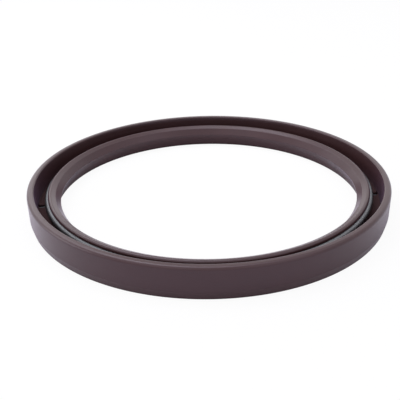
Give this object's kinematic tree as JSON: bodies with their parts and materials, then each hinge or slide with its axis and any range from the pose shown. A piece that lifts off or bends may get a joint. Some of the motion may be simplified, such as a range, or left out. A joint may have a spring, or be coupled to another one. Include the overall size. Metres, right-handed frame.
{
  "type": "rotary shaft oil seal",
  "caption": "Rubber-covered rotary shaft oil seal with a spring-loaded sealing lip and a bonded steel case.",
  "frame": {"origin": "centre of the back (air-side) face, on the shaft's axis", "axes": "+Z along the shaft's axis, from the back face towards the spring (oil) side"},
  "size_m": [0.1804, 0.1804, 0.015],
  "materials": {
    "fluoro_rubber": "satin moulded brown fluoroelastomer",
    "case_steel": "phosphated cold-rolled sheet",
    "spring_steel": "drawn stainless wire, close wound"
  },
  "bodies": {
    "root": {"rubber_body": "fluoro_rubber", "steel_case": "case_steel", "garter_spring": "spring_steel"}
  },
  "joints": []
}
